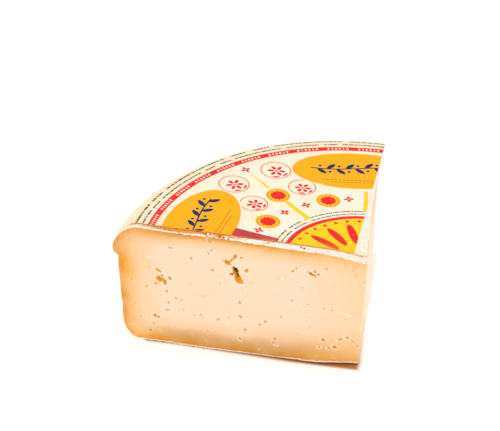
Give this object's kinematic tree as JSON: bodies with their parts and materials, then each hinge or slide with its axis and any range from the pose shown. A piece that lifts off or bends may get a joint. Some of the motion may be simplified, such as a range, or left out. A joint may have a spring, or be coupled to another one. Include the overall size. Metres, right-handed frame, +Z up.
{
  "type": "quarter wheel of cheese",
  "caption": "Quarter of a low wheel of soft cow's-milk cheese with a bulging shoulder, holey cut faces and a printed paper disc on its flat face.",
  "frame": {"origin": "under the middle of the quarter's own box, on the surface it rests on", "axes": "+Z up; one cut face looks along -Y and the other along +X; the tip edge, which was the wheel's axis, is at the +X, -Y corner"},
  "size_m": [0.1552, 0.1528, 0.0831],
  "materials": {
    "cheese": "satin",
    "paper": "matte"
  },
  "bodies": {
    "root": {"cheese": "cheese", "paper_label": "paper"}
  },
  "joints": []
}
